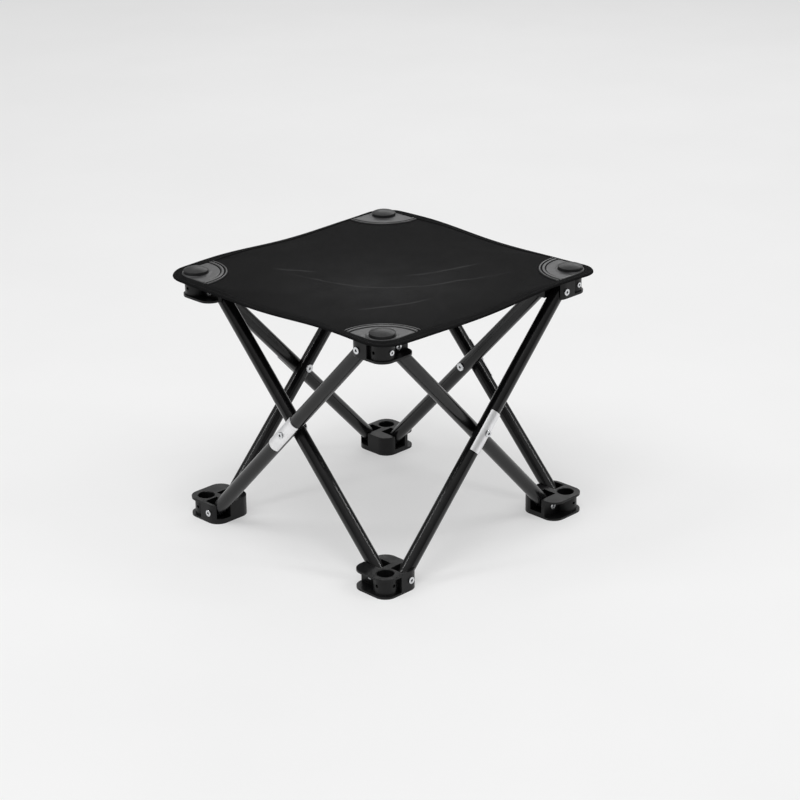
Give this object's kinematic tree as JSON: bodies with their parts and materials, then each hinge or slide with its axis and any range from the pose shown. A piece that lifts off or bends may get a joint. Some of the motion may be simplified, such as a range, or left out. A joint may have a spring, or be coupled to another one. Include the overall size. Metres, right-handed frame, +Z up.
{
  "type": "folding camp stool",
  "caption": "Low folding stool: crossed steel tubes pivot in plastic feet and hubs, and a square cloth seat is held at its corners by round caps.",
  "frame": {"origin": "on the floor, below the middle of the seat, with the stool open", "axes": "+Z up; X and Y along the sides of the square seat; corners 1 to 4 run (-X,-Y), (+X,-Y), (+X,+Y), (-X,+Y)"},
  "size_m": [0.345, 0.345, 0.2982],
  "materials": {
    "tube": "gloss",
    "moulding": "satin",
    "rivet": "bright",
    "plate": "satin",
    "cap": "gloss",
    "patch": "satin",
    "cloth": "matt"
  },
  "bodies": {
    "foot_1_body": {"foot_1": "moulding", "foot_rivets_1": "rivet"},
    "foot_2_body": {"foot_2": "moulding", "foot_rivets_2": "rivet"},
    "foot_3_body": {"foot_3": "moulding", "foot_rivets_3": "rivet"},
    "foot_4_body": {"foot_4": "moulding", "foot_rivets_4": "rivet"},
    "hub_1_body": {"hub_1": "moulding", "hub_rivets_1": "rivet", "cap_1": "cap", "cap_pin_1": "rivet", "patch_1": "patch", "seat_corner_1": "cloth"},
    "hub_2_body": {"hub_2": "moulding", "hub_rivets_2": "rivet", "cap_2": "cap", "cap_pin_2": "rivet", "patch_2": "patch", "seat_corner_2": "cloth"},
    "hub_3_body": {"hub_3": "moulding", "hub_rivets_3": "rivet", "cap_3": "cap", "cap_pin_3": "rivet", "patch_3": "patch", "seat_corner_3": "cloth"},
    "hub_4_body": {"hub_4": "moulding", "hub_rivets_4": "rivet", "cap_4": "cap", "cap_pin_4": "rivet", "patch_4": "patch", "seat_corner_4": "cloth"},
    "outer_1_body": {"outer_tube_1": "tube", "saddle_1": "plate", "cross_rivet_1": "rivet"},
    "inner_1_body": {"inner_tube_1": "tube"},
    "outer_2_body": {"outer_tube_2": "tube", "saddle_2": "plate", "cross_rivet_2": "rivet"},
    "inner_2_body": {"inner_tube_2": "tube"},
    "outer_3_body": {"outer_tube_3": "tube", "saddle_3": "plate", "cross_rivet_3": "rivet"},
    "inner_3_body": {"inner_tube_3": "tube"},
    "outer_4_body": {"outer_tube_4": "tube", "saddle_4": "plate", "cross_rivet_4": "rivet"},
    "inner_4_body": {"inner_tube_4": "tube"},
    "wing_1a_body": {"seat_wing_1a": "cloth"},
    "wing_1b_body": {"seat_wing_1b": "cloth"},
    "wing_2a_body": {"seat_wing_2a": "cloth"},
    "wing_2b_body": {"seat_wing_2b": "cloth"},
    "wing_3a_body": {"seat_wing_3a": "cloth"},
    "wing_3b_body": {"seat_wing_3b": "cloth"},
    "wing_4a_body": {"seat_wing_4a": "cloth"},
    "wing_4b_body": {"seat_wing_4b": "cloth"}
  },
  "joints": [
    {"name": "fold", "type": "hinge", "parent": "foot_1_body", "child": "outer_1_body", "pos_m": [-0.123, -0.1493, 0.0124], "axis": [0, -1, 0], "range_deg": [0, 37]},
    {"name": "foot_1_inner_4", "type": "hinge", "parent": "foot_1_body", "child": "inner_4_body", "pos_m": [-0.1327, -0.123, 0.0124], "axis": [1, 0, 0], "range_deg": [0, 37]},
    {"name": "cross_1", "type": "hinge", "parent": "outer_1_body", "child": "inner_1_body", "pos_m": [0, -0.141, 0.14295], "axis": [0, 1, 0], "range_deg": [0, 74]},
    {"name": "outer_1_hub_2", "type": "hinge", "parent": "outer_1_body", "child": "hub_2_body", "pos_m": [0.123, -0.1493, 0.2735], "axis": [0, 1, 0], "range_deg": [0, 37]},
    {"name": "cross_4", "type": "hinge", "parent": "inner_4_body", "child": "outer_4_body", "pos_m": [-0.141, 0, 0.14295], "axis": [-1, 0, 0], "range_deg": [0, 74]},
    {"name": "inner_4_hub_4", "type": "hinge", "parent": "inner_4_body", "child": "hub_4_body", "pos_m": [-0.1327, 0.123, 0.2735], "axis": [-1, 0, 0], "range_deg": [0, 37]},
    {"name": "inner_1_foot_2", "type": "hinge", "parent": "inner_1_body", "child": "foot_2_body", "pos_m": [0.123, -0.1327, 0.0124], "axis": [0, -1, 0], "range_deg": [0, 37]},
    {"name": "inner_1_hub_1", "type": "hinge", "parent": "inner_1_body", "child": "hub_1_body", "pos_m": [-0.123, -0.1327, 0.2735], "axis": [0, -1, 0], "range_deg": [0, 37]},
    {"name": "outer_4_foot_4", "type": "hinge", "parent": "outer_4_body", "child": "foot_4_body", "pos_m": [-0.1493, 0.123, 0.0124], "axis": [1, 0, 0], "range_deg": [0, 37]},
    {"name": "hub_2_inner_2", "type": "hinge", "parent": "hub_2_body", "child": "inner_2_body", "pos_m": [0.1327, -0.123, 0.2735], "axis": [-1, 0, 0], "range_deg": [0, 37]},
    {"name": "hub_4_outer_3", "type": "hinge", "parent": "hub_4_body", "child": "outer_3_body", "pos_m": [-0.123, 0.1493, 0.2735], "axis": [0, 1, 0], "range_deg": [0, 37]},
    {"name": "cross_2", "type": "hinge", "parent": "inner_2_body", "child": "outer_2_body", "pos_m": [0.141, 0, 0.14295], "axis": [1, 0, 0], "range_deg": [0, 74]},
    {"name": "inner_2_foot_3", "type": "hinge", "parent": "inner_2_body", "child": "foot_3_body", "pos_m": [0.1327, 0.123, 0.0124], "axis": [1, 0, 0], "range_deg": [0, 37]},
    {"name": "cross_3", "type": "hinge", "parent": "outer_3_body", "child": "inner_3_body", "pos_m": [0, 0.141, 0.14295], "axis": [0, -1, 0], "range_deg": [0, 74]},
    {"name": "outer_2_hub_3", "type": "hinge", "parent": "outer_2_body", "child": "hub_3_body", "pos_m": [0.1493, 0.123, 0.2735], "axis": [-1, 0, 0], "range_deg": [0, 37]},
    {"name": "seat_1a", "type": "hinge", "parent": "hub_1_body", "child": "wing_1a_body", "pos_m": [-0.1054, -0.1405, 0.2905], "axis": [0, -1, 0], "range_deg": [0, 90.36], "deforming": ["seat_wing_1a"]},
    {"name": "seat_1b", "type": "hinge", "parent": "hub_1_body", "child": "wing_1b_body", "pos_m": [-0.1405, -0.1054, 0.2905], "axis": [1, 0, 0], "range_deg": [0, 90.36], "deforming": ["seat_wing_1b"]},
    {"name": "seat_2a", "type": "hinge", "parent": "hub_2_body", "child": "wing_2a_body", "pos_m": [0.1405, -0.1054, 0.2905], "axis": [1, 0, 0], "range_deg": [0, 90.36], "deforming": ["seat_wing_2a"]},
    {"name": "seat_2b", "type": "hinge", "parent": "hub_2_body", "child": "wing_2b_body", "pos_m": [0.1054, -0.1405, 0.2905], "axis": [0, 1, 0], "range_deg": [0, 90.36], "deforming": ["seat_wing_2b"]},
    {"name": "seat_3a", "type": "hinge", "parent": "hub_3_body", "child": "wing_3a_body", "pos_m": [0.1054, 0.1405, 0.2905], "axis": [0, 1, 0], "range_deg": [0, 90.36], "deforming": ["seat_wing_3a"]},
    {"name": "seat_3b", "type": "hinge", "parent": "hub_3_body", "child": "wing_3b_body", "pos_m": [0.1405, 0.1054, 0.2905], "axis": [-1, 0, 0], "range_deg": [0, 90.36], "deforming": ["seat_wing_3b"]},
    {"name": "seat_4a", "type": "hinge", "parent": "hub_4_body", "child": "wing_4a_body", "pos_m": [-0.1405, 0.1054, 0.2905], "axis": [-1, 0, 0], "range_deg": [0, 90.36], "deforming": ["seat_wing_4a"]},
    {"name": "seat_4b", "type": "hinge", "parent": "hub_4_body", "child": "wing_4b_body", "pos_m": [-0.1054, 0.1405, 0.2905], "axis": [0, -1, 0], "range_deg": [0, 90.36], "deforming": ["seat_wing_4b"]}
  ],
  "couplings": [
    {"joint": "foot_1_inner_4", "follows": "fold", "ratio": 1},
    {"joint": "cross_1", "follows": "fold", "ratio": 2},
    {"joint": "outer_1_hub_2", "follows": "fold", "ratio": 1},
    {"joint": "cross_4", "follows": "fold", "ratio": 2},
    {"joint": "inner_4_hub_4", "follows": "fold", "ratio": 1},
    {"joint": "inner_1_foot_2", "follows": "fold", "ratio": 1},
    {"joint": "inner_1_hub_1", "follows": "fold", "ratio": 1},
    {"joint": "outer_4_foot_4", "follows": "fold", "ratio": 1},
    {"joint": "hub_2_inner_2", "follows": "fold", "ratio": 1},
    {"joint": "hub_4_outer_3", "follows": "fold", "ratio": 1},
    {"joint": "cross_2", "follows": "fold", "ratio": 2},
    {"joint": "inner_2_foot_3", "follows": "fold", "ratio": 1},
    {"joint": "cross_3", "follows": "fold", "ratio": 2},
    {"joint": "outer_2_hub_3", "follows": "fold", "ratio": 1},
    {"joint": "seat_1a", "follows": "fold", "ratio": 2.4419},
    {"joint": "seat_1b", "follows": "fold", "ratio": 2.4419},
    {"joint": "seat_2a", "follows": "fold", "ratio": 2.4419},
    {"joint": "seat_2b", "follows": "fold", "ratio": 2.4419},
    {"joint": "seat_3a", "follows": "fold", "ratio": 2.4419},
    {"joint": "seat_3b", "follows": "fold", "ratio": 2.4419},
    {"joint": "seat_4a", "follows": "fold", "ratio": 2.4419},
    {"joint": "seat_4b", "follows": "fold", "ratio": 2.4419}
  ]
}
